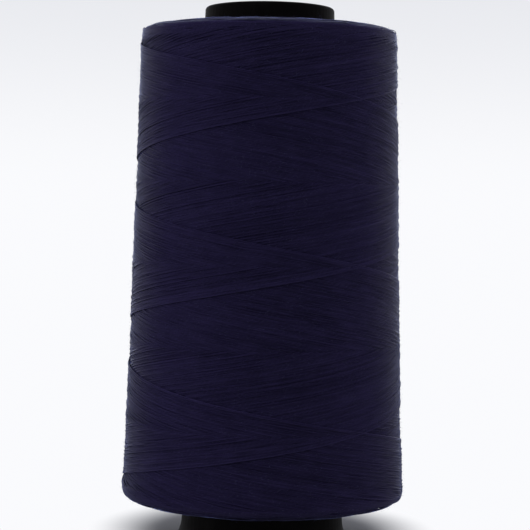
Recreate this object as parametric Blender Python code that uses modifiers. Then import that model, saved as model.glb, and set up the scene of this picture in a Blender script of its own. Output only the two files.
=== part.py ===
"""Cone of sewing thread: one strand wound crosswise on a moulded plastic core.

The core is a thin tapered tube. It has a rounded nose, a foot that flares out, grip grooves under
the thread and, inside its nose, a collar for the spool pin that a web and gusset ribs hold. The
thread is a single strand. Its inner windings are a plain turned body. Its last turns lie on that
body as one unbroken strand: the runs up the package lie on the inner windings, and the runs down
it ride over the runs up.

Metres, +Z up. The origin is the centre of the foot's underside, on the axis of the core.
Run it with: blender --background --python part.py
"""

import math

import bmesh
import bpy
from mathutils import Matrix, Vector

# ---- Core: tapered tube ---------------------------------------------------------------------
CORE_LENGTH = 0.125
NOSE_RADIUS = 0.0151
CORE_TAPER = math.radians(1.85)  # half angle of the cone
CORE_WALL = 0.0016
NOSE_LIP_RADIUS = 0.0008  # rounding of the rim at the nose

# ---- Core: flared foot ------------------------------------------------------------------------
FLARE_HEIGHT = 0.0052  # where the tube starts to curve outwards
FLARE_RADIUS = 0.0090
RIM_HEIGHT = 0.0012  # upright band round the foot, under the flare
NOTCH_WIDTH = 0.0009  # slot in the rim that grips the end of the thread
NOTCH_HEIGHT = 0.0042

# ---- Core: grip grooves under the thread ------------------------------------------------------
GROOVE_COUNT = 5
GROOVE_DEPTH = 0.0004
GROOVE_WIDTH = 0.0020
GROOVE_MARGIN = 0.0060  # from each end of the thread to the middle of the nearest groove

# ---- Core: collar for the spool pin -------------------------------------------------------------
COLLAR_BORE_RADIUS = 0.0065
COLLAR_WALL = 0.0014
COLLAR_LENGTH = 0.0120
WEB_THICKNESS = 0.0016
WEB_RECESS = 0.0050  # from the nose rim down to the web that carries the collar
RIB_COUNT = 6
RIB_THICKNESS = 0.0012
RIB_REACH = 0.0300  # how far the ribs run down the wall, from the top of the web
RIB_TOE = 0.0008  # how far a rib stands in from the wall at its lower end
RIB_HEEL = 0.0024  # from a rib's lower edge to the collar's lower end

# ---- Thread package -------------------------------------------------------------------------
BARE_FOOT = 0.0102  # core left bare below the thread
BARE_NOSE = 0.0050  # core left bare above the thread
NOSE_DEPTH = 0.0145  # from the core's surface to the outside of the thread, at the nose end
FOOT_DEPTH = 0.0139  # the same at the foot end
FOOT_SWELL = 0.0006  # how much the package swells just above its lower edge
SWELL_REACH = 0.0120
FOOT_SHOULDER = 0.0022  # rounding of the package's lower edge
NOSE_SHOULDER = 0.0018  # rounding of the package's upper edge
CORE_GAP = 0.0003  # between the core and the windings

# ---- Outer turns of the thread ----------------------------------------------------------------
THREAD_DIAMETER = 0.0003
LAID_GAP = 0.0002  # least gap between the outer turns and the windings under them
CROSSING_GAP = 0.00046  # between two turns where one rides over the other
TRAVERSES = 7  # runs up or down the package
TURNS_PER_TRAVERSE = 2.875  # each run starts a quarter turn round from the last one like it
TURN_BACK = 0.0012  # from the package's shoulders to where the thread turns back
TURN_SHARPNESS = 0.9985  # 1 would turn back in a sharp corner

# ---- Fineness of the surfaces ---------------------------------------------------------------
ROUND_STEPS = 72
ARC_STEPS = 4
SIDE_STATIONS = 8
POINTS_PER_TURN = 24
CLIMB_POINTS = 2  # points on each side of a turn back in which the strand changes level
MERGE_DISTANCE = 1e-5

# ---- Sizes that follow from the driving ones ----------------------------------------------------
PACKAGE_BOTTOM = BARE_FOOT
PACKAGE_TOP = CORE_LENGTH - BARE_NOSE
WEB_TOP = CORE_LENGTH - WEB_RECESS
COLLAR_RADIUS = COLLAR_BORE_RADIUS + COLLAR_WALL
POINTS_PER_TRAVERSE = round(TURNS_PER_TRAVERSE * POINTS_PER_TURN)
CROSSING_RISE = THREAD_DIAMETER + CROSSING_GAP


def core_radius(z):
    """Outside radius of the tapered tube at height z, without the foot's flare."""
    return NOSE_RADIUS + (CORE_LENGTH - z) * math.tan(CORE_TAPER)


def package_radius(z):
    """Outside radius of the whole package of thread at height z."""
    share = (z - PACKAGE_BOTTOM) / (PACKAGE_TOP - PACKAGE_BOTTOM)
    depth = FOOT_DEPTH + (NOSE_DEPTH - FOOT_DEPTH) * share
    swell = FOOT_SWELL * math.exp(-(z - PACKAGE_BOTTOM) / SWELL_REACH)
    return core_radius(z) + depth + swell


def corner_radius(side_radius):
    """Radius of the corners of a turn whose straight stretches keep side_radius from the axis."""
    return side_radius / math.cos(math.pi / POINTS_PER_TURN)


CORNER_RISE = corner_radius(package_radius(PACKAGE_BOTTOM)) - package_radius(PACKAGE_BOTTOM)
OUTER_LAYER = LAID_GAP + THREAD_DIAMETER + CROSSING_RISE + CORNER_RISE


def windings_radius(z):
    """Outside radius of the inner windings at height z, under the outer turns."""
    return package_radius(z) - OUTER_LAYER


def arc(centre, radius, start, end):
    """Points of an arc in the (radius, height) plane, from angle start to end in radians."""
    angles = [start + (end - start) * step / ARC_STEPS for step in range(ARC_STEPS + 1)]
    return [(centre[0] + radius * math.cos(a), centre[1] + radius * math.sin(a)) for a in angles]


# ---- Scene, collections and materials -----------------------------------------------------------
def clear_scene():
    for obj in list(bpy.data.objects):
        bpy.data.objects.remove(obj)


def new_collection(name):
    collection = bpy.data.collections.new(name)
    bpy.context.scene.collection.children.link(collection)
    return collection


def new_material(name, colour, roughness):
    material = bpy.data.materials.new(name)
    material.use_nodes = True
    shader = material.node_tree.nodes["Principled BSDF"]
    shader.inputs["Base Color"].default_value = (*colour, 1.0)
    shader.inputs["Roughness"].default_value = roughness
    shader.inputs["Metallic"].default_value = 0.0
    return material


def new_object(name, data, collection, material=None):
    obj = bpy.data.objects.new(name, data)
    collection.objects.link(obj)
    if material:
        data.materials.append(material)
    return obj


# ---- Ways of making a solid -----------------------------------------------------------------------
def turned(name, profile, collection, material=None):
    """A closed (radius, height) outline turned round Z. The outline runs down its outer side."""
    count = len(profile)
    mesh = bpy.data.meshes.new(name)
    mesh.from_pydata(
        [(radius, 0.0, height) for radius, height in profile],
        [(corner, (corner + 1) % count) for corner in range(count)],
        [],
    )
    obj = new_object(name, mesh, collection, material)
    screw = obj.modifiers.new("Turn", "SCREW")
    screw.axis = "Z"
    screw.angle = math.tau
    screw.steps = ROUND_STEPS
    screw.render_steps = ROUND_STEPS
    screw.use_merge_vertices = True
    screw.merge_threshold = MERGE_DISTANCE
    screw.use_smooth_shade = True
    return obj


def plates(name, outline, thickness, turns, collection):
    """Flat plates from one outline in the XZ plane, centred on Y and set round Z at each turn."""
    bm = bmesh.new()
    for turn in turns:
        corners = [bm.verts.new((x, -thickness / 2, z)) for x, z in outline]
        extruded = bmesh.ops.extrude_face_region(bm, geom=[bm.faces.new(corners)])["geom"]
        far_side = [item for item in extruded if isinstance(item, bmesh.types.BMVert)]
        bmesh.ops.translate(bm, verts=far_side, vec=(0.0, thickness, 0.0))
        bmesh.ops.rotate(bm, verts=corners + far_side, matrix=Matrix.Rotation(turn, 3, "Z"))
    bmesh.ops.recalc_face_normals(bm, faces=bm.faces)
    mesh = bpy.data.meshes.new(name)
    bm.to_mesh(mesh)
    bm.free()
    return new_object(name, mesh, collection)


def combine(target, helper, operation):
    """Joins the helper to the target, or cuts it out, and leaves the helper as a wire guide."""
    helper.hide_render = True
    helper.display_type = "WIRE"
    modifier = target.modifiers.new(helper.name, "BOOLEAN")
    modifier.operation = operation
    modifier.object = helper
    modifier.solver = "EXACT"


# ---- Core ---------------------------------------------------------------------------------------
def groove_points():
    """The tube's outside, from nose to foot, across the grooves that grip the first turns."""
    first = PACKAGE_TOP - GROOVE_MARGIN
    last = PACKAGE_BOTTOM + GROOVE_MARGIN
    points = []
    for number in range(GROOVE_COUNT):
        middle = first + (last - first) * number / (GROOVE_COUNT - 1)
        for height, depth in (
            (middle + GROOVE_WIDTH / 2, 0.0),
            (middle, GROOVE_DEPTH),
            (middle - GROOVE_WIDTH / 2, 0.0),
        ):
            points.append((core_radius(height) - depth, height))
    return points


def flare_arc(offset):
    """The foot's flare from the tube down to the rim, set inwards from its outside by offset."""
    radius = FLARE_RADIUS + offset
    centre = (core_radius(FLARE_HEIGHT) + FLARE_RADIUS, FLARE_HEIGHT)
    sweep = math.asin((FLARE_HEIGHT - RIM_HEIGHT) / radius)
    return arc(centre, radius, math.pi, math.pi + sweep)


def core_profile():
    """Closed outline of the core, down the outside and back up the inside, round web and collar."""
    lip = min(NOSE_LIP_RADIUS, CORE_WALL * 0.8)
    lip_centre = (core_radius(CORE_LENGTH) - lip, CORE_LENGTH - lip)
    outer_flare = flare_arc(0.0)
    inner_flare = flare_arc(CORE_WALL)
    web_bottom = WEB_TOP - WEB_THICKNESS
    collar_bottom = WEB_TOP - COLLAR_LENGTH
    outside = arc(lip_centre, lip, math.pi / 2, 0) + groove_points() + outer_flare
    foot = [(outer_flare[-1][0], 0.0), (inner_flare[-1][0], 0.0)]
    collar_and_web = [
        (core_radius(web_bottom) - CORE_WALL, web_bottom),
        (COLLAR_RADIUS, web_bottom),
        (COLLAR_RADIUS, collar_bottom),
        (COLLAR_BORE_RADIUS, collar_bottom),
        (COLLAR_BORE_RADIUS, WEB_TOP),
        (core_radius(WEB_TOP) - CORE_WALL, WEB_TOP),
    ]
    mouth = [(core_radius(CORE_LENGTH) - CORE_WALL, CORE_LENGTH)]
    return outside + foot + inner_flare[::-1] + collar_and_web + mouth


def rib_outline():
    """A gusset from the web and the collar out to the wall, and down it to a narrow toe."""
    in_the_web = WEB_TOP - WEB_THICKNESS / 2
    in_the_collar = COLLAR_RADIUS - COLLAR_WALL / 2
    toe = WEB_TOP - RIB_REACH
    return [
        (in_the_collar, in_the_web),
        (core_radius(in_the_web) - CORE_WALL / 2, in_the_web),
        (core_radius(toe) - CORE_WALL / 2, toe),
        (core_radius(toe) - CORE_WALL - RIB_TOE, toe),
        (in_the_collar, WEB_TOP - COLLAR_LENGTH + RIB_HEEL),
    ]


def notch_outline():
    """The slot that grips the end of the thread, open at the foot's underside."""
    inner = core_radius(0.0) - CORE_WALL * 2
    outer = core_radius(0.0) + FLARE_RADIUS
    below = -NOTCH_HEIGHT
    return [(inner, below), (outer, below), (outer, NOTCH_HEIGHT), (inner, NOTCH_HEIGHT)]


def build_core(collection, helpers, material):
    core = turned("plastic_core", core_profile(), collection, material)
    rib_turns = [math.tau * number / RIB_COUNT for number in range(RIB_COUNT)]
    ribs = plates("core_ribs", rib_outline(), RIB_THICKNESS, rib_turns, helpers)
    notch = plates("thread_notch", notch_outline(), NOTCH_WIDTH, [math.pi / 2], helpers)
    combine(core, ribs, "UNION")
    combine(core, notch, "DIFFERENCE")


# ---- Inner windings ---------------------------------------------------------------------------
def windings_profile():
    """Closed outline of the inner windings, down the outside and back up the bore."""
    high = PACKAGE_TOP - NOSE_SHOULDER
    low = PACKAGE_BOTTOM + FOOT_SHOULDER
    nose_shoulder = arc((windings_radius(high) - NOSE_SHOULDER, high), NOSE_SHOULDER, math.pi / 2, 0)
    foot_shoulder = arc((windings_radius(low) - FOOT_SHOULDER, low), FOOT_SHOULDER, 0, -math.pi / 2)
    side = []
    for station in range(1, SIDE_STATIONS):
        z = high + (low - high) * station / SIDE_STATIONS
        side.append((windings_radius(z), z))
    bore = [(core_radius(z) + CORE_GAP, z) for z in (PACKAGE_BOTTOM, PACKAGE_TOP)]
    return nose_shoulder + side + foot_shoulder + bore


# ---- Outer turns of the thread ------------------------------------------------------------------
def run_height(index):
    """Height of the strand's point number index, as the thread guide runs up and down."""
    low = PACKAGE_BOTTOM + FOOT_SHOULDER + TURN_BACK
    high = PACKAGE_TOP - NOSE_SHOULDER - TURN_BACK
    swing = math.sin(math.pi * (index / POINTS_PER_TRAVERSE - 0.5))
    wave = math.asin(TURN_SHARPNESS * swing) / math.asin(TURN_SHARPNESS)
    return (low + high) / 2 + (high - low) / 2 * wave


def level(index):
    """0 on a run up, which lies on the inner windings, and 1 on a run down, which rides over."""
    nearest = round(index / POINTS_PER_TRAVERSE)
    past = (index - nearest * POINTS_PER_TRAVERSE) / CLIMB_POINTS
    share = min(max((past + 1) / 2, 0.0), 1.0)
    eased = share * share * (3 - 2 * share)
    return eased if nearest % 2 else 1 - eased


def laid_point(index):
    """A point of the strand's centreline, on the windings or riding over a run up."""
    z = run_height(index)
    seat = windings_radius(z) + LAID_GAP + THREAD_DIAMETER / 2
    radius = corner_radius(seat) + CROSSING_RISE * level(index)
    angle = math.tau * index / POINTS_PER_TURN
    return Vector((radius * math.cos(angle), radius * math.sin(angle), z))


def standing_end(point):
    """Both points of the strand's straight end, which stands square to the windings."""
    outward = Vector((point.x, point.y, 0.0)).normalized()
    foot = outward * (windings_radius(point.z) + LAID_GAP) + Vector((0.0, 0.0, point.z))
    return [foot, foot + outward * THREAD_DIAMETER * 2]


def strand_points():
    """Centreline of the outer turns, from one standing end to the other."""
    laid = [laid_point(index) for index in range(TRAVERSES * POINTS_PER_TRAVERSE + 1)]
    return standing_end(laid[0]) + laid[1:-1] + standing_end(laid[-1])[::-1]


def segment_distance(a, b, c, d):
    """Least distance between the segments a-b and c-d."""
    u, v, w = b - a, d - c, a - c
    along_u, along_v, cross = u.dot(u), v.dot(v), u.dot(v)
    spread = along_u * along_v - cross * cross
    s = 0.0
    if spread > 0.0:
        s = min(max((cross * v.dot(w) - along_v * u.dot(w)) / spread, 0.0), 1.0)
    t = min(max((cross * s + v.dot(w)) / along_v, 0.0), 1.0)
    s = min(max((cross * t - u.dot(w)) / along_u, 0.0), 1.0)
    return (a + u * s - c - v * t).length


def least_gap(points):
    """Least clear gap from the strand to itself, past the quarter turn that follows each point."""
    past = POINTS_PER_TURN // 4
    reach = math.tau * package_radius(PACKAGE_BOTTOM) / POINTS_PER_TURN * 2
    least = math.inf
    for i in range(len(points) - 1):
        for j in range(i + past, len(points) - 1):
            if (points[i] - points[j]).length < reach:
                distance = segment_distance(points[i], points[i + 1], points[j], points[j + 1])
                least = min(least, distance)
    return least - THREAD_DIAMETER


def build_outer_turns(collection, material):
    points = strand_points()
    curve = bpy.data.curves.new("outer_thread_turns", "CURVE")
    curve.dimensions = "3D"
    curve.bevel_depth = THREAD_DIAMETER / 2
    curve.bevel_resolution = 1
    curve.use_fill_caps = True
    spline = curve.splines.new("POLY")
    spline.points.add(len(points) - 1)
    for place, point in zip(spline.points, points):
        place.co = (*point, 1.0)
    new_object("outer_thread_turns", curve, collection, material)
    turns = TRAVERSES * POINTS_PER_TRAVERSE / POINTS_PER_TURN
    print(f"outer turns: {turns:.1f}, least gap to itself: {least_gap(points) * 1000:.2f} mm")


def main():
    clear_scene()
    parts = new_collection("thread_cone")
    helpers = new_collection("thread_cone_helpers")
    black_plastic = new_material("black_plastic", (0.012, 0.012, 0.013), 0.42)
    navy_thread = new_material("navy_thread", (0.013, 0.012, 0.036), 0.85)
    build_core(parts, helpers, black_plastic)
    turned("inner_windings", windings_profile(), parts, navy_thread)
    build_outer_turns(parts, navy_thread)


main()
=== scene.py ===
"""Looks of the cone of sewing thread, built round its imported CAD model.

The thread is wound in code as a winding machine winds it. A guide runs up and down while the core
turns, each run comes to lie a thread's width beside the one before it, and every strand rests on
those it crosses. So the crosswise bands and the slanting edges where the newest runs lie over the
oldest ones come from the geometry. The two end faces are made of the loops in which the thread
turned back. Loose fibres stand off the surface, and the core keeps its CAD solid.

Metres, +Z up, in the frame of the CAD model. Angles round the axis are in turns, from the front
(-Y) towards +X.
"""

import logging
import math
from collections.abc import Mapping
from dataclasses import dataclass, field
from enum import Enum

import bpy
import numpy as np
from mathutils import Matrix, Vector


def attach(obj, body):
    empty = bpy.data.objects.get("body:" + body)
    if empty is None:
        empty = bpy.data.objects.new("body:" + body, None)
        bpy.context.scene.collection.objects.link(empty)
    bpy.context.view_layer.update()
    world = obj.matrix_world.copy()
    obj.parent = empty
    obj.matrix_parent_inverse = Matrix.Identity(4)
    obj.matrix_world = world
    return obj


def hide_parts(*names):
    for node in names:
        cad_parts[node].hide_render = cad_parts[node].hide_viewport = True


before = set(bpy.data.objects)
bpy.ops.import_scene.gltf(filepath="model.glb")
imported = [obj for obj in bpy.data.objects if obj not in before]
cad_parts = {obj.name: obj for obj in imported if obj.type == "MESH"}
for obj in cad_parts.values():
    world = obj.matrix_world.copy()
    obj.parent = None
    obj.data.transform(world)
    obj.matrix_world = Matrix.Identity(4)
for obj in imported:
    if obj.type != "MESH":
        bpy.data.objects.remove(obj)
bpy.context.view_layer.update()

BODY = "root"
BAKE_MAP = "OFBake"
MM = 0.001
QUARTER = math.pi / 2  # of a turn, in radians
WAVE_GAIN = 1.25  # gives eased random values the spread of their knots again
LOG = logging.getLogger("thread_cone")

Array = np.ndarray
Pair = tuple[float, float]
Point = tuple[float, float, float]
Colour = tuple[float, float, float]


class Slot(Enum):
    """Material slots of the record."""

    CORE = "core_plastic"
    THREAD = "thread"


class Corner(Enum):
    """The two ends of the package, and the sign of reach away from the core there."""

    NOSE = 1
    FOOT = -1


# ---- Shader maths ----
class Wire:
    """An output of a shader node. Python's operators on it add Math nodes."""

    def __init__(self, web: "NodeWeb", socket: bpy.types.NodeSocket) -> None:
        """Keeps the tree of nodes and the output's socket."""
        self.web = web
        self.socket = socket

    def twin(self, output: str) -> "Wire":
        """Another output of the same node."""
        return Wire(self.web, self.socket.node.outputs[output])

    def math(self, operation: str, *terms: "Wire | float") -> "Wire":
        """A Math node, with the terms as its inputs in order."""
        return self.web.add("ShaderNodeMath", {"operation": operation}, dict(enumerate(terms)))

    def __add__(self, other: "Wire | float") -> "Wire":
        """self + other."""
        return self.math("ADD", self, other)

    def __radd__(self, other: float) -> "Wire":
        """other + self."""
        return self.math("ADD", other, self)

    def __sub__(self, other: "Wire | float") -> "Wire":
        """self - other."""
        return self.math("SUBTRACT", self, other)

    def __rsub__(self, other: float) -> "Wire":
        """other - self."""
        return self.math("SUBTRACT", other, self)

    def __mul__(self, other: "Wire | float") -> "Wire":
        """self * other."""
        return self.math("MULTIPLY", self, other)

    def __rmul__(self, other: float) -> "Wire":
        """other * self."""
        return self.math("MULTIPLY", other, self)

    def cosine(self) -> "Wire":
        """Cosine of the value, in radians."""
        return self.math("COSINE", self)

    def sine(self) -> "Wire":
        """Sine of the value, in radians."""
        return self.math("SINE", self)

    def least(self, other: "Wire | float") -> "Wire":
        """The smaller of the two values."""
        return self.math("MINIMUM", self, other)

    def eased(self, start: float, end: float) -> "Wire":
        """Smooth step, from 0 at the start to 1 at the end."""
        values = {"Value": self, "From Min": start, "From Max": end}
        return self.web.add("ShaderNodeMapRange", {"interpolation_type": "SMOOTHSTEP"}, values)


class NodeWeb:
    """The node tree of one material or world, emptied and ready to be filled."""

    def __init__(self, tree: bpy.types.NodeTree) -> None:
        """Keeps the tree and clears it."""
        self.tree = tree
        tree.nodes.clear()

    def add(
        self,
        kind: str,
        settings: Mapping[str, object] | None = None,
        values: Mapping[str | int, object] | None = None,
        output: str | int = 0,
    ) -> Wire:
        """Adds one node.

        Args:
            kind: The node's type.
            settings: Its properties, set before its sockets.
            values: Numbers, colours or wires for its input sockets.
            output: The output to hand back.

        Returns:
            That output.
        """
        node = self.tree.nodes.new(kind)
        for name, setting in (settings or {}).items():
            setattr(node, name, setting)
        for name, value in (values or {}).items():
            if isinstance(value, Wire):
                self.tree.links.new(value.socket, node.inputs[name])
            else:
                node.inputs[name].default_value = value
        return Wire(self, node.outputs[output])

    def end(self, kind: str, surface: Wire) -> None:
        """Adds the tree's output node, of the kind given, and leads the surface to it."""
        node = self.tree.nodes.new(kind)
        self.tree.links.new(surface.socket, node.inputs["Surface"])

    def place(self) -> Wire:
        """Where a point lies on the object."""
        return self.add("ShaderNodeTexCoord", None, None, "Object")

    def stretched(self, place: Wire, scale: Point) -> Wire:
        """The place with its axes scaled, which draws out a pattern along the small ones."""
        return self.add("ShaderNodeMapping", None, {"Vector": place, "Scale": scale})

    def held(self, name: str, output: str = "Vector") -> Wire:
        """What the mesh holds at its points under a name."""
        return self.add("ShaderNodeAttribute", {"attribute_name": name}, None, output)

    def noise(self, place: Wire, scale: float, detail: float, rough: float = 0.5) -> Wire:
        """Noise from about 0.2 to 0.8.

        Args:
            place: Where it is read.
            scale: Waves per metre.
            detail: How many finer waves are added.
            rough: How strong the finer waves are.

        Returns:
            The noise's value.
        """
        values = {"Vector": place, "Scale": scale, "Detail": detail, "Roughness": rough}
        return self.add("ShaderNodeTexNoise", {"noise_dimensions": "3D"}, values)

    def blend(self, factor: Wire, first: Wire | Colour, second: Wire | Colour) -> Wire:
        """Mixes two colours.

        Args:
            factor: 0 gives the first colour and 1 the second.
            first: A colour, written or from a node.
            second: The same.

        Returns:
            The mixed colour.
        """
        ends = (end if isinstance(end, Wire) else rgba(end) for end in (first, second))
        values = dict(zip((0, 6, 7), (factor, *ends)))
        return self.add("ShaderNodeMix", {"data_type": "RGBA"}, values, 2)

    def bump(self, height: Wire, strength: float, normal: Wire | None = None) -> Wire:
        """Relief that only the light shows.

        Args:
            height: Its height in metres.
            strength: How much of it shows, up to 1.
            normal: The normal that it stands on, if that isn't the mesh's own.

        Returns:
            The normal.
        """
        values = {"Strength": strength, "Distance": 1.0, "Height": height}
        if normal is not None:
            values["Normal"] = normal
        return self.add("ShaderNodeBump", None, values)

    def split(self, vector: Wire) -> tuple[Wire, Wire, Wire]:
        """The X, Y and Z parts of a vector."""
        x = self.add("ShaderNodeSeparateXYZ", None, {0: vector})
        return x, x.twin("Y"), x.twin("Z")

    def camera_ray(self) -> Wire:
        """1 for rays straight from the camera, and 0 for others."""
        return self.add("ShaderNodeLightPath", None, None, "Is Camera Ray")

    def seen_ray(self) -> Wire:
        """1 for rays from the camera, directly or by way of a gloss or glass, and 0 for others."""
        camera = self.camera_ray()
        return (camera + camera.twin("Is Glossy Ray") + camera.twin("Is Transmission Ray")).least(1)


def rgba(colour: Colour) -> tuple[float, float, float, float]:
    """The colour with full alpha."""
    return (*colour, 1.0)


# ---- Finishes ----
@dataclass(frozen=True)
class Finish:
    """A named finish. Each kind adds its own numbers and its shader."""

    name: str

    def material(self) -> bpy.types.Material:
        """Builds the material.

        Returns:
            The material.
        """
        material = bpy.data.materials.new(self.name)
        material.use_nodes = True
        web = NodeWeb(material.node_tree)
        web.end("ShaderNodeOutputMaterial", self.shader(web))
        return material

    def shader(self, web: NodeWeb) -> Wire:
        """Adds the shader's nodes to the tree. Each kind of finish has its own."""
        raise NotImplementedError


@dataclass(frozen=True)
class ThreadFinish(Finish):
    """Dyed spun polyester: matt and slightly hairy, with the twist of its two plies."""

    name: str = "spun_thread"
    deep_colour: Colour = (0.0088, 0.0066, 0.0272)
    top_colour: Colour = (0.0202, 0.0154, 0.0575)
    # pale colour of the painted highlight, most on the nose shoulder
    pale_colour: Colour = (0.050, 0.051, 0.100)
    highlight_from: float = 0.9  # lightness from which the thread turns pale, a painted highlight
    highlight_full: float = 2.0
    roughness: float = 0.86
    specular: float = 0.12
    sheen: float = 1.0
    sheen_roughness: float = 0.24
    sheen_colour: Colour = (0.34, 0.42, 1.0)
    gloss: float = 0.225
    gloss_roughness: float = 0.10
    twist_length: float = 1.3 * MM
    ply_height: float = 0.0040 * MM
    fibre_height: float = 0.0112 * MM
    relief: float = 0.7  # how much of the two heights shows
    ply_tone: float = 0.16
    fibre_tone: float = 0.50
    patch_tone: float = 0.35
    fibre_scale: float = 9000.0
    patch_scale: float = 260.0
    haze: float = 0.60  # how far its fine hairs even out the light across a strand

    def shader(self, web: NodeWeb) -> Wire:
        """Twisted plies over fine fibres, with a sheen and a thin gloss.

        Args:
            web: The material's tree.

        Returns:
            The shader.
        """
        across, up, run = web.split(web.held("strand"))
        turn = run * (math.tau / self.twist_length)
        ply = (across * across - up * up) * turn.cosine() + 2.0 * (across * up) * turn.sine()
        place = web.place()
        fibres = web.noise(place, self.fibre_scale, 2.0, 0.6)
        patches = web.noise(place, self.patch_scale, 2.0)
        light = ply * self.ply_tone + (fibres - 0.5) * self.fibre_tone
        # the mesh's shade holds painted highlights as well as the thread's own tone
        light = light + (patches - 0.5) * self.patch_tone + web.held("shade", "Fac")
        colour = web.blend(light.eased(0.0, 1.0), self.deep_colour, self.top_colour)
        # painted highlight: where the lightness is high, above all on the nose shoulder, the thread
        # turns pale
        colour = web.blend(light.eased(self.highlight_from, self.highlight_full), colour, self.pale_colour)
        height = ply * self.ply_height + fibres * self.fibre_height
        values = {
            "Base Color": colour,
            "Roughness": self.roughness,
            "Specular IOR Level": self.specular,
            "Sheen Weight": self.sheen,
            "Sheen Roughness": self.sheen_roughness,
            "Sheen Tint": rgba(self.sheen_colour),
            "Coat Weight": self.gloss,
            "Coat Roughness": self.gloss_roughness,
            "Normal": web.bump(height, self.relief, self.hazy(web)),
        }
        return web.add("ShaderNodeBsdfPrincipled", None, values)

    def hazy(self, web: NodeWeb) -> Wire:
        """The strand's normal, turned part of the way to the normal of the package.

        Args:
            web: The material's tree.

        Returns:
            The normal.
        """
        settings = {"vector_type": "NORMAL", "convert_from": "OBJECT", "convert_to": "WORLD"}
        outward = web.add("ShaderNodeVectorTransform", settings, {"Vector": web.held("outward")})
        own = web.add("ShaderNodeNewGeometry", None, None, "Normal")
        values = {0: self.haze, 4: own, 5: outward}
        mixed = web.add("ShaderNodeMix", {"data_type": "VECTOR"}, values, 1)
        return web.add("ShaderNodeVectorMath", {"operation": "NORMALIZE"}, {0: mixed})


@dataclass(frozen=True)
class LoopedThreadFinish(ThreadFinish):
    """The same thread in the loops of the nose face, which lie in all directions."""

    name: str = "looped_thread"
    sheen_roughness: float = 0.30
    gloss: float = 0.50


@dataclass(frozen=True)
class DeepThreadFinish(Finish):
    """The windings under the strands that are modelled: the same thread, seen in their shade."""

    name: str = "deep_thread"
    colour: Colour = (0.0060, 0.0055, 0.0165)
    # painted shade in the grooves between the strands
    groove_shade_colour: Colour = (0.0025, 0.0022, 0.0070)
    roughness: float = 0.95
    strand_scale: float = 3300.0
    strand_stretch: Point = (0.25, 0.25, 1.0)
    strand_height: float = 0.1 * MM
    relief: float = 0.8

    def shader(self, web: NodeWeb) -> Wire:
        """Painted shade: dark streaks round the package, darkest in the grooves between the
        strands.

        Args:
            web: The material's tree.

        Returns:
            The shader.
        """
        place = web.stretched(web.place(), self.strand_stretch)
        strands = web.noise(place, self.strand_scale, 1.0)
        values = {
            "Base Color": web.blend(strands, self.groove_shade_colour, self.colour),
            "Roughness": self.roughness,
            "Normal": web.bump(strands * self.strand_height, self.relief),
        }
        return web.add("ShaderNodeBsdfPrincipled", None, values)


@dataclass(frozen=True)
class FibreFinish(Finish):
    """Loose fibres that stand off the thread. They are so thin that they look lighter."""

    name: str = "loose_fibre"
    colour: Colour = (0.045, 0.048, 0.125)
    pale_colour: Colour = (0.085, 0.092, 0.21)
    roughness: float = 0.6
    scale: float = 900.0

    def shader(self, web: NodeWeb) -> Wire:
        """Plain fibres of two tones.

        Args:
            web: The material's tree.

        Returns:
            The shader.
        """
        tone = web.noise(web.place(), self.scale, 1.0)
        colour = web.blend(tone, self.colour, self.pale_colour)
        values = {"Base Color": colour, "Roughness": self.roughness}
        return web.add("ShaderNodeBsdfPrincipled", None, values)


@dataclass(frozen=True)
class PlasticFinish(Finish):
    """Black moulded plastic with a fine texture from its mould and a little wear."""

    name: str = "moulded_plastic"
    colour: Colour = (0.0030, 0.0026, 0.0028)
    worn_colour: Colour = (0.0075, 0.0070, 0.0072)
    roughness: float = 0.60
    cloud_roughness: float = 0.22
    scuff_roughness: float = 0.08
    specular: float = 0.07
    grain_scale: float = 5200.0
    grain_height: float = 0.012 * MM
    cloud_scale: float = 120.0
    cloud_height: float = 0.06 * MM
    cloud_range: Pair = (0.45, 0.75)  # of the noise, from no wear to full wear
    cloud_wear: float = 0.6
    scuff_scale: float = 2080.0
    scuff_stretch: Point = (1.0, 1.0, 0.05)
    scuff_range: Pair = (0.60, 0.72)
    scuff_wear: float = 0.25
    relief: float = 0.6

    def shader(self, web: NodeWeb) -> Wire:
        """Grain, cloudy wear, and scuffs along the axis.

        Args:
            web: The material's tree.

        Returns:
            The shader.
        """
        place = web.place()
        grain = web.noise(place, self.grain_scale, 3.0, 0.6)
        clouds = web.noise(place, self.cloud_scale, 4.0, 0.6)
        scuff_and_highlight = web.stretched(place, self.scuff_stretch)
        scuffs = web.noise(scuff_and_highlight, self.scuff_scale, 2.0).eased(*self.scuff_range)
        wear = clouds.eased(*self.cloud_range) * self.cloud_wear + scuffs * self.scuff_wear
        uneven = (clouds - 0.5) * self.cloud_roughness + scuffs * self.scuff_roughness
        height = grain * self.grain_height + clouds * self.cloud_height
        values = {
            "Base Color": web.blend(wear.least(1.0), self.colour, self.worn_colour),
            "Roughness": self.roughness + uneven,
            "Specular IOR Level": self.specular,
            "Normal": web.bump(height, self.relief),
        }
        return web.add("ShaderNodeBsdfPrincipled", None, values)


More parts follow.
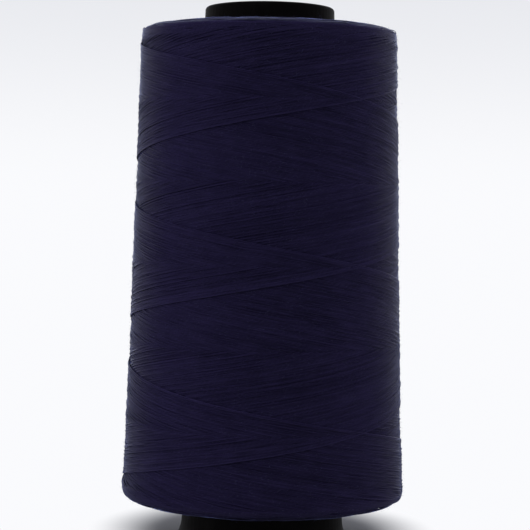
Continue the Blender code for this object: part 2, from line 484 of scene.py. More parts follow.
@dataclass(frozen=True)
class FloorFinish(Finish):
    """Matt floor. It takes the object's shade, is painted dark grey round a point just behind the
    object as a painted shadow, and fades into the white background round that.
    """

    name: str = "white_floor"
    # painted shadow: the floor's dark grey near the object
    colour: Colour = (0.29, 0.29, 0.31)
    far_colour: Colour = (0.955, 0.960, 0.985)
    # middle of the painted shadow, a little behind the object
    shade_centre: Point = (0.0004, 0.0110, 0.0)
    fade_start: float = 24.3 * MM
    fade_end: float = 43.0 * MM
    mirror_reach: float = 0.20  # how far behind the object glossy surfaces mirror it in full

    def shader(self, web: NodeWeb) -> Wire:
        """Matt dark grey near the object, a painted shadow, and bright away from it, for the camera
        and for mirrors.

        Args:
            web: The material's tree.

        Returns:
            The shader.
        """
        place = web.place()
        ends = {0: place, 1: self.shade_centre}
        distance = web.add("ShaderNodeVectorMath", {"operation": "DISTANCE"}, ends, "Value")
        fade = distance.eased(self.fade_start, self.fade_end)
        shaded = web.add("ShaderNodeBsdfDiffuse", None, {"Color": rgba(self.colour)})
        bright = web.add("ShaderNodeEmission", None, {"Color": rgba(self.far_colour)})
        camera, (_, back, _) = web.camera_ray(), web.split(place)
        seen = camera + (web.seen_ray() - camera) * back.eased(0.0, self.mirror_reach)
        return web.add("ShaderNodeMixShader", None, {0: fade * seen, 1: shaded, 2: bright})


# ---- Form of the package ----
@dataclass
class PackageForm:
    """Outline of the package of thread, as in the CAD model, followed from end face to end face.

    A place on the package is its angle in turns and its reach: how far along the outline it lies,
    from the nose face's inner edge, over the nose shoulder and down the side, round the foot
    shoulder, to the foot face's inner edge.
    """

    core_length: float = 125.0 * MM
    nose_radius: float = 15.1 * MM
    core_taper: float = math.radians(1.85)
    bottom: float = 10.2 * MM
    top: float = 120.0 * MM
    nose_depth: float = 14.5 * MM
    foot_depth: float = 13.9 * MM
    foot_swell: float = 0.6 * MM
    swell_reach: float = 12.0 * MM
    foot_shoulder: float = 2.2 * MM
    nose_shoulder: float = 1.8 * MM
    core_gap: float = 0.3 * MM
    face_dish: float = 0.35 * MM
    end_points: int = 40  # of the outline on each face and shoulder
    side_points: int = 400
    fineness: float = 0.05 * MM  # steps of the tables over the reach
    usable_shoulder: float = 0.7  # share of each shoulder that thread wound on the side may reach
    highlight_start: float = 0.5 * MM  # past the side, where the painted highlight of the nose shoulder starts
    highlight_rise: float = 0.7 * MM
    highlight_peak: float = 2.4 * MM
    highlight_fall: float = 4.0 * MM
    reach: Array = field(init=False)
    radius: Array = field(init=False)
    height: Array = field(init=False)
    tilt: Array = field(init=False)
    side_start: float = field(init=False)
    side_end: float = field(init=False)

    def __post_init__(self) -> None:
        """Lays out the outline as tables over the reach."""
        high, low = self.top - self.nose_shoulder, self.bottom + self.foot_shoulder
        nose_corner = self.side_radius(high) - self.nose_shoulder
        foot_corner = self.side_radius(low) - self.foot_shoulder
        nose_in, foot_in = self.inner_radius(self.top), self.inner_radius(self.bottom)
        nose_face = np.linspace(nose_in, nose_corner, self.end_points)
        foot_face = np.linspace(foot_corner, foot_in, self.end_points)[1:]
        side = np.linspace(high, low, self.side_points)[1:]
        turn = np.linspace(0.0, QUARTER, self.end_points)[1:]
        sine, cosine = np.sin(turn), np.cos(turn)
        parts = [
            (nose_face, self.top - self.dish(nose_face, nose_in, nose_corner)),
            (nose_corner + self.nose_shoulder * sine, high + self.nose_shoulder * cosine),
            (self.side_radius(side), side),
            (foot_corner + self.foot_shoulder * cosine, low - self.foot_shoulder * sine),
            (foot_face, self.bottom + self.dish(foot_face, foot_in, foot_corner)),
        ]
        radius, height = (np.concatenate(values) for values in zip(*parts))
        reach = np.concatenate([[0.0], np.cumsum(np.hypot(np.diff(radius), np.diff(height)))])
        counts = np.cumsum([len(part[0]) for part in parts])
        self.side_start, self.side_end = float(reach[counts[1] - 1]), float(reach[counts[2] - 1])
        self.reach = np.linspace(0.0, reach[-1], int(reach[-1] / self.fineness) + 1)
        self.radius = np.interp(self.reach, reach, radius)
        self.height = np.interp(self.reach, reach, height)
        slope = np.arctan2(-np.gradient(self.height), np.gradient(self.radius))
        self.tilt = QUARTER - np.unwrap(slope)

    def dish(self, radius: Array, inner: float, outer: float) -> Array:
        """How far an end face lies in, at a radius: it sinks a little towards the core."""
        share = (outer - radius) / (outer - inner)
        return self.face_dish * share * share

    def core_radius(self, z: float | Array) -> float | Array:
        """Outside radius of the core at height z."""
        return self.nose_radius + (self.core_length - z) * math.tan(self.core_taper)

    def inner_radius(self, z: float) -> float:
        """Inside radius of the package at height z."""
        return self.core_radius(z) + self.core_gap

    def side_radius(self, z: float | Array) -> float | Array:
        """Outside radius of the package at height z.

        Args:
            z: One height or several.

        Returns:
            The radius at each.
        """
        share = (z - self.bottom) / (self.top - self.bottom)
        depth = self.foot_depth + (self.nose_depth - self.foot_depth) * share
        swell = self.foot_swell * np.exp(-(z - self.bottom) / self.swell_reach)
        return self.core_radius(z) + depth + swell

    def reach_at(self, z: Array) -> Array:
        """Reach of heights on the side or its shoulders.

        Args:
            z: The heights.

        Returns:
            The reaches.
        """
        spare = self.usable_shoulder * QUARTER
        on_side = (self.reach > self.side_start - spare * self.nose_shoulder) & (
            self.reach < self.side_end + spare * self.foot_shoulder
        )
        return np.interp(-z, -self.height[on_side], self.reach[on_side])

    def height_at(self, reach: Array) -> Array:
        """Height of the surface at each reach."""
        return np.interp(reach, self.reach, self.height)

    def scuff_and_highlight(self, reach: Array) -> Array:
        """How much painted highlight the thread gets: most on the nose shoulder, where it turned
        back and its edge catches the light.

        Args:
            reach: Places along the outline.

        Returns:
            Values from 0 to 1.
        """
        past = self.side_start - reach
        rising = np.clip((past - self.highlight_start) / self.highlight_rise, 0.0, 1.0)
        falling = np.clip((past - self.highlight_peak) / self.highlight_fall, 0.0, 1.0)
        return rising * (1.0 - falling) ** 2

    def outward(self, turns: Array, reach: Array) -> Array:
        """Unit vectors that stand on the surface.

        Args:
            turns: Angles round the axis.
            reach: Places along the outline.

        Returns:
            The vectors, one row each.
        """
        tilt = np.interp(reach, self.reach, self.tilt)
        flat, up = np.cos(tilt), np.sin(tilt)
        angle = math.tau * turns
        return np.stack([flat * np.sin(angle), -flat * np.cos(angle), up], axis=-1)

    def place(self, turns: Array, reach: Array, rise: Array) -> Array:
        """Points on the package.

        Args:
            turns: Angles round the axis.
            reach: Places along the outline.
            rise: Distances above the surface.

        Returns:
            The points, one row each.
        """
        radius = np.interp(reach, self.reach, self.radius)
        x, y = radius * np.sin(math.tau * turns), -radius * np.cos(math.tau * turns)
        spot = np.stack([x, y, self.height_at(reach)], axis=-1)
        return spot + self.outward(turns, reach) * np.asarray(rise)[..., None]


# ---- Meshes of many tubes ----
@dataclass
class Rings:
    """Rings of tubes that lie on the package, from which a mesh is made.

    Each array has a row for each tube, or one for all of them.

    places: The rings' angles, reaches and rises.
    halves: Half the tubes' size along the surface, and away from it.
    run: Length of thread up to each ring.
    shade: Lightness of the thread at each ring: its own tone, and on the strands and loops painted
    highlights too.
    """

    form: PackageForm
    places: tuple[Array, Array, Array]
    halves: tuple[Array, Array]
    run: Array | float
    shade: Array | float
    corners: int = 5
    face_ratio: float = 6.5  # length of a face over its width
    cap_radius: float = 0.3  # of a cap on the map, as a share of a ring's room there
    centre: Array = field(init=False)
    outward: Array = field(init=False)
    first: Array = field(init=False)
    last: Array = field(init=False)

    def __post_init__(self) -> None:
        """Puts the rings of all tubes in one row."""
        turns, reach, _ = self.places
        tubes, rings = turns.shape
        self.centre = self.form.place(*self.places).reshape(-1, 3)
        self.outward = self.form.outward(turns, reach).reshape(-1, 3)
        self.first = np.arange(tubes) * rings
        self.last = self.first + rings - 1

    def spread(self, values: Array | float) -> Array:
        """One value for each ring."""
        return np.broadcast_to(values, self.places[0].shape).ravel()

    def frames(self) -> tuple[Array, Array]:
        """Sideways and upward unit vectors of each ring.

        Returns:
            Both, one row for each ring.
        """
        ahead = np.empty_like(self.centre)
        ahead[1:-1] = self.centre[2:] - self.centre[:-2]
        first, last = self.first, self.last
        ahead[first] = self.centre[first + 1] - self.centre[first]
        ahead[last] = self.centre[last] - self.centre[last - 1]
        ahead /= np.linalg.norm(ahead, axis=1)[:, None]
        side = np.cross(ahead, self.outward)
        side /= np.linalg.norm(side, axis=1)[:, None]
        return side, np.cross(side, ahead)

    def mesh(self, name: str) -> bpy.types.Mesh:
        """Closed tubes through the rings, with what the thread's material reads at their points.

        Args:
            name: The mesh's name.

        Returns:
            The mesh.
        """
        count, corners = len(self.centre), self.corners
        side, up = self.frames()
        angle = QUARTER + math.tau * np.arange(corners) / corners
        across, rise = np.cos(angle), np.sin(angle)
        half_width, half_height = (self.spread(half)[:, None] for half in self.halves)
        points = (
            self.centre[:, None]
            + side[:, None] * (half_width * across)[..., None]
            + up[:, None] * (half_height * rise)[..., None]
        )
        first, last = self.first[:, None] * corners, self.last[:, None] * corners
        ring = np.delete(np.arange(count), self.last)[:, None] * corners
        corner = np.arange(corners)[None]
        following = (corner + 1) % corners
        beyond = ring + corners
        sides = [ring + corner, beyond + corner, beyond + following, ring + following]
        caps = np.concatenate([first + corner, last + corner[:, ::-1]])
        indices = np.concatenate([np.stack(sides, axis=-1).ravel(), caps.ravel()])
        side_faces, cap_faces = ring.size * corners, len(caps)
        cap_starts = side_faces * 4 + np.arange(cap_faces) * corners
        starts = np.concatenate([np.arange(side_faces) * 4, cap_starts])
        mesh = bpy.data.meshes.new(name)
        mesh.vertices.add(count * corners)
        mesh.vertices.foreach_set("co", points.astype(np.float32).ravel())
        mesh.loops.add(len(indices))
        mesh.loops.foreach_set("vertex_index", indices.astype(np.int32))
        mesh.polygons.add(side_faces + cap_faces)
        mesh.polygons.foreach_set("loop_start", starts.astype(np.int32))
        mesh.update(calc_edges=True)
        mesh.shade_smooth()
        add_map(mesh, self.map_places(ring[:, 0] // corners))
        strand = np.broadcast_arrays(across, rise, self.spread(self.run)[:, None])
        add_values(mesh, "strand", np.stack(strand, axis=-1).reshape(-1, 3))
        add_values(mesh, "outward", np.repeat(self.outward, corners, axis=0))
        add_values(mesh, "shade", np.repeat(self.spread(self.shade), corners))
        return mesh

    def piece(self, name: str, material: bpy.types.Material) -> bpy.types.Object:
        """The tubes as a piece with the material given."""
        return new_piece(name, self.mesh(name), material)

    def map_places(self, ring: Array) -> Array:
        """Places on the bake map: the rings stand in rows, like lines of writing.

        Args:
            ring: The rings that a tube goes on from. The last ring of a tube isn't one of them,
                and its room in the rows takes the tube's two caps.

        Returns:
            The places of all corners of all faces.
        """
        corners, last = self.corners, self.last
        rows = max(1, math.ceil(math.sqrt(self.face_ratio * len(self.centre) / corners)))
        per_row = math.ceil(len(self.centre) / rows)
        corner = np.arange(corners)
        left, low = (ring % per_row)[:, None] / per_row, (ring // per_row)[:, None]
        right = left + 1 / per_row
        bottom, top = (low + corner / corners) / rows, (low + (corner + 1) / corners) / rows
        around = (left, bottom, right, bottom, right, top, left, top)
        sides = np.stack(np.broadcast_arrays(*around), axis=-1)
        angle = math.tau * corner / corners
        disc = 0.5 + self.cap_radius * np.stack([np.cos(angle), np.sin(angle)], axis=-1)
        caps = []
        for half, order in ((0.0, disc), (0.5, disc[::-1])):
            spot = np.stack([(last % per_row) + half, last // per_row], axis=-1)[:, None]
            caps.append((spot + order * (0.5, 1.0)) / (per_row, rows))
        return np.concatenate([sides.ravel(), np.concatenate(caps).ravel()])


def add_map(mesh: bpy.types.Mesh, places: Array) -> None:
    """Adds the map to bake to, from the places of all corners of all faces."""
    mesh.uv_layers.new(name=BAKE_MAP).uv.foreach_set("vector", places.astype(np.float32).ravel())


def add_values(mesh: bpy.types.Mesh, name: str, values: Array) -> None:
    """Gives each point of a mesh a value or a vector that its material reads.

    Args:
        mesh: The mesh.
        name: The name that they are read under.
        values: The values, or a row for each vector.
    """
    kind, key = ("FLOAT", "value") if values.ndim == 1 else ("FLOAT_VECTOR", "vector")
    values = values.astype(np.float32).ravel()
    mesh.attributes.new(name, kind, "POINT").data.foreach_set(key, values)


def new_piece(
    name: str, mesh: bpy.types.Mesh, material: bpy.types.Material
) -> bpy.types.Object:
    """A piece of the object, riding on the core.

    Args:
        name: The piece's name.
        mesh: Its mesh.
        material: Its material.

    Returns:
        The piece.
    """
    piece = bpy.data.objects.new(name, mesh)
    bpy.context.scene.collection.objects.link(piece)
    mesh.materials.append(material)
    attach(piece, BODY)
    LOG.info("%s: %d vertices, %d faces", name, len(mesh.vertices), len(mesh.polygons))
    return piece


def waves(rng: np.random.Generator, count: int, *parts: Pair) -> Array:
    """Sum of smooth random waves of mean 0.

    Args:
        rng: The random numbers.
        count: How many values.
        *parts: Each wave's usual depth, and its steps from one knot to the next.

    Returns:
        The values.
    """
    total = np.zeros(count)
    for depth, spacing in parts:
        knots = rng.standard_normal(int(count / spacing) + 4)
        at = np.arange(count) / spacing + 1
        index = at.astype(int)
        share = at - index
        eased = share * share * (3 - 2 * share)
        total += (knots[index] * (1 - eased) + knots[index + 1] * eased) * WAVE_GAIN * depth
    return total


def smoothed(values: Array, kernel: Array) -> Array:
    """Values smoothed by a kernel, as if their two ends went on level."""
    padded = np.pad(values, len(kernel) // 2, mode="edge")
    return np.convolve(padded, kernel / kernel.sum(), "valid")


# ---- The wound thread ----
@dataclass
class Winder:
    """Winds the outer layers of the package and lays each strand on those under it.

    Its apexes are the heights at which the guide's straight runs would meet, and its peaks are the
    heights at which the thread really turns back.
    """

    form: PackageForm
    climb: float = 37.0 * MM  # along the package in each turn
    nose_apex: float = 121.25 * MM
    nose_apex_turns: float = 0.620
    nose_peak: float = 118.7 * MM
    foot_peak: float = 11.7 * MM
    peak_scatter: float = 0.65 * MM
    cycles: int = 2
    runs_per_cycle: int = 128  # runs up, before one falls on the first again
    turns_per_run: int = 6  # there and back
    half_width: float = 0.150 * MM
    half_height: float = 0.105 * MM
    give: float = 0.80  # share of its height that a strand keeps between two others
    layer: float = 0.19 * MM
    start_depth: float = 1.00 * MM
    free_rise: float = -0.02 * MM  # above this, strands press down what lies under them
    most_press: float = 0.20 * MM
    levelling: float = 0.85
    level_reach: float = 0.5 * MM
    mean_rise: float = -0.18 * MM
    fresh_rise: float = 0.07 * MM  # by which the newest runs stand up
    fresh_runs: float = 1.5
    groove_depth: float = 0.07 * MM
    groove_place: float = 0.28 * MM
    groove_width: float = 0.20 * MM
    run_scatter: float = 0.008 * MM
    stray_share: float = 0.025  # of the runs, which lie further off their even place
    stray_scatter: float = 0.05 * MM
    settle_turns: float = 0.2  # from a turning point until a run lies in its own line
    settle_columns: int = 31
    drift: Pair = (0.010 * MM, 198.0)  # depth and spacing in columns
    wobble: Pair = (0.016 * MM, 6.0)
    columns: int = 360
    cell: float = 0.03 * MM
    belly_cells: int = 4  # that a strand covers on either side of its middle
    hold_columns: int = 2  # over which a strand is held up by the highest place under it
    hold_share: float = 0.65
    bend_columns: int = 7  # over which its stiffness evens out its rise
    bend_spread: float = 2.8
    seed: int = 41
    turns: Array = field(init=False)
    reach: Array = field(init=False)
    rise: Array = field(init=False)
    age: Array = field(init=False)

    def stride(self) -> float:
        """Turns in one run there and back, with the small gain that sets the next run beside it."""
        return self.turns_per_run + 1 / self.runs_per_cycle

    def foot_apex(self) -> float:
        """Height at which the straight runs would meet at the foot."""
        return self.nose_apex - self.climb * self.stride() / 2

    def wind(self) -> None:
        """Finds every strand's angle, reach, rise and age, for all cycles."""
        rng = np.random.default_rng(self.seed)
        last_turn = self.nose_apex_turns + self.stride() / 2
        steps = int(self.cycles * self.runs_per_cycle * self.stride() * self.columns)
        column = math.floor(last_turn * self.columns) + np.arange(-steps, 1)
        since = column / self.columns - last_turn
        half = np.rint(-since / (self.stride() / 2)).astype(int)
        past = since + half * self.stride() / 2
        self.turns = column / self.columns
        self.reach = self.form.reach_at(self.heights(rng, half, past))
        self.lay(column % self.columns, since)

    def heights(self, rng: np.random.Generator, half: Array, past: Array) -> Array:
        """Heights of the strand as the guide runs up and down.

        Args:
            rng: The random numbers.
            half: Number of the nearest turning point, counted back from the end. Even is the foot.
            past: Turns past that turning point.

        Returns:
            The heights.
        """
        count = int(half.max()) + 1
        at_foot = np.arange(count) % 2 == 0
        scatter = np.abs(rng.standard_normal(count)) * self.peak_scatter
        foot_bend, nose_bend = self.foot_peak - self.foot_apex(), self.nose_apex - self.nose_peak
        depth = np.where(at_foot, foot_bend, nose_bend) + scatter - self.peak_scatter
        near = (2 * depth / self.climb)[half]
        away = np.where(np.abs(past) < near, near / 2 + past**2 / (2 * near), np.abs(past))
        climbed = self.climb * away
        heights = np.where(at_foot[half], self.foot_apex() + climbed, self.nose_apex - climbed)
        runs = np.where(past < 0, half, half - 1) + 1
        kernel = np.hanning(self.settle_columns)
        offset = rng.standard_normal(count + 2) * self.run_scatter
        strays = rng.random(count + 2) < self.stray_share
        offset += strays * rng.standard_normal(count + 2) * self.stray_scatter
        offset = np.convolve(offset[runs], kernel / kernel.sum(), "same")
        drift = waves(rng, len(past), self.drift)
        wobble = waves(rng, len(past), self.wobble)
        straight = np.clip(np.abs(past) / self.settle_turns, 0.0, 1.0)
        return heights + (offset + drift) * straight + wobble

    def start_surface(self) -> tuple[Array, float]:
        """Surface that the first strand is laid on, with the steps of the cycles under it.

        Returns:
            Rises over columns and cells, and the reach of the first cell.
        """
        first = self.form.side_start - self.form.nose_shoulder * QUARTER
        last = self.form.side_end + self.form.foot_shoulder * QUARTER
        reach = first + np.arange(int((last - first) / self.cell)) * self.cell
        height = self.form.height_at(reach)
        turns = np.arange(self.columns)[:, None] / self.columns
        up_front = self.nose_apex - self.climb * self.nose_apex_turns + self.climb * turns
        down_front = self.nose_apex + self.climb * self.nose_apex_turns - self.climb * turns
        below_up = ((up_front - height) / self.climb) % 1.0
        above_down = ((height - down_front) / self.climb) % 1.0
        return -self.start_depth - self.layer * (2 - below_up - above_down), first

    def lay(self, column: Array, since: Array) -> None:
        """Lays the strand half a run at a time on the surface under it.

        Args:
            column: Column of the surface that each point lies on.
            since: Turns up to the end of the thread, below 0.
        """
        surface, first = self.start_surface()
        across = np.arange(-self.belly_cells, self.belly_cells + 1)
        belly = 1 - (across * self.cell / self.half_width) ** 2
        belly = np.sqrt(np.clip(belly, 0, 1)) * self.half_height
        around = np.arange(-self.bend_columns, self.bend_columns + 1)
        stiffness = np.exp(-0.5 * (around / self.bend_spread) ** 2)
        window = range(2 * self.hold_columns + 1)
        edge = self.belly_cells + 1
        cell = np.rint((self.reach - first) / self.cell).astype(int)
        cell = np.clip(cell, edge, surface.shape[1] - 1 - edge)
        run = np.floor(-since / (self.stride() / 2)).astype(int)
        edges = np.flatnonzero(np.diff(run)) + 1
        self.rise = np.empty(len(column))
        for start, end in zip([0, *edges], [*edges, len(column)]):
            rows, cells = column[start:end, None], cell[start:end, None] + across
            under = surface[rows, cells]
            seat = (under + belly * self.give).max(axis=1)
            wide = np.pad(seat, self.hold_columns, mode="edge")
            held = np.max([wide[shift : shift + len(seat)] for shift in window], axis=0)
            smooth = smoothed(self.hold_share * held + (1 - self.hold_share) * seat, stiffness)
            over = np.maximum(smooth - self.free_rise, 0.0)
            smooth += self.most_press * (1 - np.exp(-over / self.most_press)) - over
            self.rise[start:end] = smooth
            surface[rows, cells] = np.maximum(under, smooth[:, None] + belly)
        self.level(cell, since > -self.runs_per_cycle * self.stride())
        self.age = run // 2
        self.rise += self.fresh_rise * np.exp(-self.age / self.fresh_runs)
        self.rise -= self.groove(column) * (self.age > 0)

    def groove(self, column: Array) -> Array:
        """Depth of the groove beside the newest runs, which press down what they lie against.

        Args:
            column: Column of the surface that each point lies on.

        Returns:
            The depths.
        """
        height = self.form.height_at(self.reach)
        climbed = self.climb * (self.nose_apex_turns - column / self.columns)
        below_rising = (self.nose_apex - climbed - height) % self.climb
        above_falling = (height - self.nose_apex - climbed) % self.climb
        off = np.abs(np.stack([below_rising, above_falling]) - self.groove_place).min(axis=0)
        return self.groove_depth * np.exp(-((off / self.groove_width) ** 2))

    def level(self, cell: Array, shown: Array) -> None:
        """Evens out the rings that stand up where the runs cross at one height all round.

        Args:
            cell: The cell of the surface that each point lies on.
            shown: Whether each point belongs to the last cycle.
        """
        counts = np.bincount(cell[shown], minlength=cell.max() + 1)
        sums = np.bincount(cell[shown], self.rise[shown], minlength=cell.max() + 1)
        filled = np.flatnonzero(counts)
        mean = np.interp(np.arange(len(counts)), filled, sums[filled] / counts[filled])
        kernel = np.hanning(2 * int(self.level_reach / self.cell) + 3)
        self.rise += (self.mean_rise - smoothed(mean, kernel)[cell]) * self.levelling


@dataclass
class WoundThread:
    """The windings of the side: an inner body and the strands of the last cycle on it."""

    form: PackageForm
    winder: Winder
    pieces: int = 8
    step: int = 2  # columns of the winder to a ring
    cover: float = 1.04  # width of a strand over the room it takes between its neighbours
    flatness: float = 0.70  # its height over the height it takes
    unevenness: tuple[Pair, ...] = ((0.06, 25), (0.06, 3))  # share, rings apart
    shade: float = 0.42
    shade_waves: tuple[Pair, ...] = ((0.06, 60), (0.05, 500), (0.06, 2))
    fresh_highlight: float = 0.24  # painted highlight: by which the newest runs are lighter, as they stand proud and catch the light
    fresh_runs: float = 0.8
    # strength of the painted highlight on the nose shoulder
    highlight_gain: float = 1.5
    body_depth: float = 1.25 * MM
    body_segments: int = 180
    body_stations: int = 160
    seed: int = 7

    def build(self, thread: bpy.types.Material, deep: bpy.types.Material) -> None:
        """Builds the body and winds the strands.

        Args:
            thread: The thread's material.
            deep: The material of the body under the strands.
        """
        body = self.build_body(deep)
        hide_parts("inner_windings")
        self.winder.wind()
        for number in range(self.pieces):
            strands = self.build_strands(number, thread)
            if number == 0:
                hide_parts("outer_thread_turns")

    def build_body(self, material: bpy.types.Material) -> bpy.types.Object:
        """The turned body under the strands.

        Args:
            material: Its material.

        Returns:
            The piece.
        """
        form, segments, stations = self.form, self.body_segments, self.body_stations
        reach = np.linspace(form.reach[0], form.reach[-1], stations)
        around, along = np.meshgrid(np.arange(segments) / segments, reach, indexing="ij")
        points = form.place(around, along, np.full(around.shape, -self.body_depth))
        radius = np.hypot(points[..., 0], points[..., 1])
        ends = form.bottom, form.top
        inner = np.interp(points[..., 2], ends, [form.inner_radius(end) for end in ends])
        points[..., :2] *= (np.maximum(radius, inner) / radius)[..., None]
        segment, station = np.indices(around.shape)
        here, following = segment * stations, (segment + 1) % segments * stations
        beyond = (station + 1) % stations
        quads = [here + station, here + beyond, following + beyond, following + station]
        quads = np.stack(quads, axis=-1).reshape(-1, 4)
        mesh = bpy.data.meshes.new("windings_body")
        mesh.from_pydata(points.reshape(-1, 3).tolist(), [], quads.tolist())
        left, low = segment / segments, station / stations
        right, high = left + 1 / segments, low + 1 / stations
        add_map(mesh, np.stack([left, low, left, high, right, high, right, low], axis=-1))
        mesh.shade_smooth()
        return new_piece("windings_body", mesh, material)

    def build_strands(self, number: int, material: bpy.types.Material) -> bpy.types.Object:
        """One stretch of the outermost cycle of the thread.

        Args:
            number: Which stretch, from the oldest.
            material: The thread's material.

        Returns:
            The piece.
        """
        winder = self.winder
        shown = int(winder.runs_per_cycle * winder.stride() * winder.columns)
        first = len(winder.turns) - 1 - shown
        start, end = (first + shown * part // self.pieces for part in (number, number + 1))
        chosen = np.arange(start, end + self.step, self.step)
        chosen = chosen[chosen < len(winder.turns)]
        places = tuple(part[None, chosen] for part in (winder.turns, winder.reach, winder.rise))
        rng = np.random.default_rng(self.seed + number)
        count = len(chosen)
        thick = 1 + waves(rng, count, *self.unevenness)
        steps = np.diff(self.form.place(*places)[0], axis=0)
        shade = self.shade + waves(rng, count, *self.shade_waves)
        # painted highlight along the newest runs
        shade += self.fresh_highlight * np.exp(-winder.age[chosen] / self.fresh_runs)
        # painted highlight on the nose shoulder
        shade += self.highlight_gain * self.form.scuff_and_highlight(winder.reach[chosen])
        rings = Rings(
            self.form,
            places,
            (winder.half_width * self.cover * thick, winder.half_height * self.flatness * thick),
            np.concatenate([[0.0], np.cumsum(np.linalg.norm(steps, axis=1))]),
            shade,
        )
        return rings.piece(f"wound_thread_{number + 1}", material)


@dataclass
class EndLoops:
    """An end face: the loops in which the thread turned back, from the core to the shoulder."""

    form: PackageForm
    corner: Corner
    nose_margin: float = 0.85 * MM  # of the outermost loops on the nose, from the side
    foot_margin: float = 1.0 * MM
    pitch: float = 0.19 * MM
    per_turn: int = 9
    half_turns: float = 0.085
    first_loop: float = 0.6  # place of the innermost loop's middle, in pitches
    lean: float = 0.5  # share of the way to the next ring of loops that one loop goes
    points: int = 23
    scatter: float = 0.012  # turns
    sway: float = 0.035 * MM
    slant: float = 0.03 * MM
    dive: float = 1.05 * MM  # of a loop's two ends under its middle
    crown: float = -0.13 * MM  # rise of the highest loops
    unevenness: float = 0.10 * MM
    half_width: float = 0.112 * MM
    half_height: float = 0.135 * MM
    thickness_scatter: float = 0.05
    half_length: float = 4.4 * MM
    twist_scatter: float = 0.02
    shade: float = 0.40
    shade_scatter: float = 0.09
    # strength of the painted highlight on the nose shoulder
    highlight_gain: float = 1.5
    seed: int = 107

    def build(self, material: bpy.types.Material) -> None:
        """Builds the loops as one piece.

        Args:
            material: The thread's material.
        """
        form, corner = self.form, self.corner
        rng = np.random.default_rng(self.seed + corner.value)
        if corner is Corner.NOSE:
            inner, outer = form.reach[0], form.side_start - self.nose_margin
        else:
            inner, outer = form.reach[-1], form.side_end + self.foot_margin
        count = int(abs(outer - inner) / self.pitch)
        ring = np.repeat(np.arange(count), self.per_turn)[:, None]
        each = ring.shape
        middle = np.arange(len(ring))[:, None] % self.per_turn / self.per_turn
        middle = middle + rng.random(count)[ring] + rng.normal(0, self.scatter, each)
        past = np.linspace(-1, 1, self.points)[None]
        sway = rng.normal(0, self.sway, each) + rng.normal(0, self.slant, each) * past
        turns = middle + past * self.half_turns
        out = ring + self.first_loop + past * self.half_turns * self.per_turn * self.lean
        reach = inner + corner.value * (out * self.pitch + sway)
        reach = np.clip(reach, form.reach[0], form.reach[-1])
        peak = self.crown - np.abs(rng.normal(0, self.unevenness, each))
        thick = 1 + self.thickness_scatter * rng.standard_normal(each)
        shade = self.shade + self.shade_scatter * rng.standard_normal(each)
        rings = Rings(
            form,
            (turns, reach, peak - self.dive * past**2),
            (self.half_width * thick, self.half_height * thick),
            self.half_length * past + self.twist_scatter * rng.random(each),
            # painted highlight on the nose shoulder
            shade + self.highlight_gain * form.scuff_and_highlight(reach),
        )
        rings.piece(f"end_loops_{corner.name.lower()}", material)


@dataclass
class LooseFibres:
    """Short fibres of the spun thread that stand off the package."""

    form: PackageForm
    count: int = 42000
    rings: int = 4
    corners: int = 3
    half_thickness: float = 0.007 * MM
    tip_taper: float = 0.45
    length_shape: float = 2.6  # lengths follow a gamma distribution
    length_scale: float = 0.20 * MM
    lift_shape: Pair = (2.0, 2.2)  # and lifts a beta distribution
    most_lift: float = 1.45
    curl: float = 1.1
    droop: float = 0.75
    root_depth: float = 0.08 * MM
    shade: float = 0.5
    seed: int = 23

    def build(self, material: bpy.types.Material) -> None:
        """Builds the fibres as one piece.

        Args:
            material: Their material.
        """
        rng = np.random.default_rng(self.seed)
        form, each = self.form, (self.count, 1)
        weight = np.cumsum(form.radius)
        root = np.interp(rng.random(each), weight / weight[-1], form.reach)
        turn = rng.random(each)
        heading = rng.uniform(0, math.tau, each)
        length = rng.gamma(self.length_shape, self.length_scale, each)
        lift = rng.beta(*self.lift_shape, each) * self.most_lift
        curl = rng.normal(0, self.curl, each)
        share = np.linspace(0, 1, self.rings)[None]
        step = length / (self.rings - 1)
        bearing = heading + curl * share
        slope = lift * (1 - self.droop * share * rng.random(each))
        along = np.cumsum(step * np.cos(slope) * np.cos(bearing), axis=1)
        round_axis = np.cumsum(step * np.cos(slope) * np.sin(bearing), axis=1)
        rise = np.cumsum(step * np.sin(slope), axis=1) - step - self.root_depth
        reach = np.clip(root + along, form.reach[0], form.reach[-1])
        radius = np.interp(reach, form.reach, form.radius)
        turns = turn + round_axis / (math.tau * radius)
        half = (1.0 - self.tip_taper * share) * self.half_thickness
        rings = Rings(form, (turns, reach, rise), (half, half), 0.0, self.shade, self.corners)
        rings.piece("loose_fibres", material)


# ---- Core ----
@dataclass
class Core:
    """The plastic core, shown as its CAD solid."""

    node: str = "plastic_core"

    def dress(self, material: bpy.types.Material) -> None:
        """Gives the CAD solid its finish.

        Args:
            material: The plastic's material.
        """
        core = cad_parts[self.node]
        core.data.materials.clear()
        core.data.materials.append(material)
        LOG.info("%s: CAD solid with %s", self.node, material.name)


# ---- Studio ----
@dataclass(frozen=True)
class SoftBox:
    """A square area light aimed at a point of the object."""

    name: str
    place: Point
    side: float
    level: float  # 1 lights a matt surface that faces it to its own colour
    colour: Colour = (1.0, 1.0, 1.0)
    aim: Point = (0.0, 0.0, 0.06)
    in_gloss: bool = False  # whether glossy surfaces mirror it

    def build(self) -> None:
        """Adds the lamp."""
        lamp = bpy.data.lights.new(self.name, "AREA")
        lamp.shape = "SQUARE"
        lamp.size = self.side
        lamp.color = self.colour
        away = Vector(self.place) - Vector(self.aim)
        lamp.energy = self.level * math.pi**2 * away.length_squared
        obj = bpy.data.objects.new(self.name, lamp)
        obj.location = self.place
        obj.rotation_euler = away.to_track_quat("Z", "Y").to_euler()
        obj.visible_camera = False
        obj.visible_glossy = self.in_gloss
        bpy.context.scene.collection.objects.link(obj)


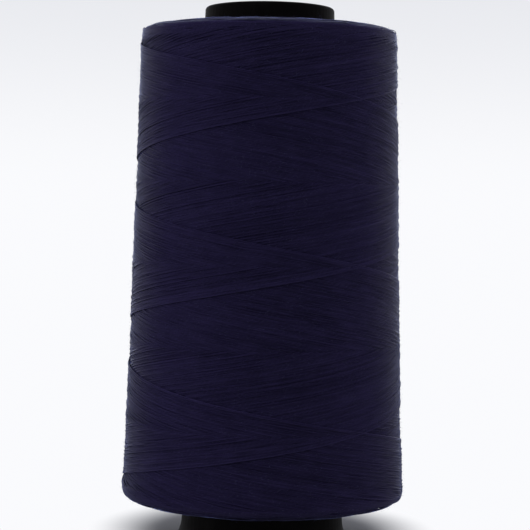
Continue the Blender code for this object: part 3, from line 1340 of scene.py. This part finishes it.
@dataclass
class Studio:
    """White floor, white background, soft lamps and the camera of the photograph."""

    lamps: tuple[SoftBox, ...] = (
        SoftBox("top_box", (0.0, -0.10, 0.95), 0.70, 0.38),
        SoftBox("back_box", (0.0, 1.00, 0.42), 0.90, 0.34, (0.84, 0.90, 1.0), in_gloss=True),
        SoftBox("left_box", (-0.66, -0.28, 0.21), 0.40, 0.56),
        SoftBox("right_box", (0.70, -0.14, 0.21), 0.40, 0.46),
    )
    floor_side: float = 6.0
    ambient: float = 0.25
    backdrop: float = 0.75
    backdrop_range: Pair = (0.2, 0.95)  # of the Y part of the way from the object
    room_range: Pair = (0.1, 0.9)
    ambient_colour: Colour = (0.93, 0.95, 1.0)
    low_sky: Colour = (0.955, 0.960, 0.985)
    high_sky: Colour = (0.80, 0.81, 0.85)
    high_sky_from: float = 0.15  # sine of the angle above the horizon
    room: Colour = (0.03, 0.03, 0.035)  # behind the camera, seen in gloss only
    camera_place: Point = (-0.0002, -0.3878, 0.0804)
    camera_pitch: float = 0.0401  # downwards
    camera_roll: float = 0.0162
    lens: float = 111.9
    sensor: float = 36.0

    def build(self) -> None:
        """Builds the studio."""
        self.build_floor()
        self.build_background()
        for lamp in self.lamps:
            lamp.build()
        self.build_camera()
        bpy.context.scene.view_settings.view_transform = "Standard"

    def build_floor(self) -> None:
        """Adds the floor."""
        half = self.floor_side / 2
        corners = [(-half, -half, 0), (half, -half, 0), (half, half, 0), (-half, half, 0)]
        mesh = bpy.data.meshes.new("floor")
        mesh.from_pydata(corners, [], [(0, 1, 2, 3)])
        mesh.materials.append(FloorFinish().material())
        floor = bpy.data.objects.new("floor", mesh)
        bpy.context.scene.collection.objects.link(floor)

    def build_background(self) -> None:
        """Lights the scene from all round, most from behind, and shows a near-white background."""
        world = bpy.data.worlds.new("white_studio")
        bpy.context.scene.world = world
        world.use_nodes = True
        web = NodeWeb(world.node_tree)
        _, back, up = web.split(web.add("ShaderNodeTexCoord", None, None, "Generated"))
        sky = web.blend(up.eased(0.0, self.high_sky_from), self.low_sky, self.high_sky)
        lit = 1 - (1 - back.eased(*self.room_range)) * (1 - web.camera_ray())
        behind = back.eased(*self.backdrop_range)
        strength = self.ambient + (self.backdrop - self.ambient) * behind
        values = {"Color": rgba(self.ambient_colour), "Strength": strength}
        plain = web.add("ShaderNodeBackground", None, values)
        values = {"Color": web.blend(lit, self.room, sky), "Strength": 1.0}
        shown = web.add("ShaderNodeBackground", None, values)
        mixed = web.add("ShaderNodeMixShader", None, {0: web.seen_ray(), 1: plain, 2: shown})
        web.end("ShaderNodeOutputWorld", mixed)

    def build_camera(self) -> None:
        """Adds the camera at the photograph's place."""
        data = bpy.data.cameras.new("camera")
        data.lens = self.lens
        data.sensor_width = self.sensor
        data.clip_start = 10.0 * MM
        camera = bpy.data.objects.new("camera", data)
        bpy.context.scene.collection.objects.link(camera)
        tilt = Matrix.Rotation(QUARTER - self.camera_pitch, 4, "X")
        roll = Matrix.Rotation(self.camera_roll, 4, "Z")
        camera.matrix_world = Matrix.Translation(self.camera_place) @ tilt @ roll
        bpy.context.scene.camera = camera


def main() -> None:
    """Builds the cone of thread and the studio."""
    logging.basicConfig(level=logging.INFO, format="%(name)s: %(message)s")
    form = PackageForm()
    Core().dress(PlasticFinish().material())
    thread = ThreadFinish().material()
    WoundThread(form, Winder(form)).build(thread, DeepThreadFinish().material())
    EndLoops(form, Corner.NOSE).build(LoopedThreadFinish().material())
    EndLoops(form, Corner.FOOT).build(thread)
    LooseFibres(form).build(FibreFinish().material())
    Studio().build()


if __name__ == "__main__":
    main()
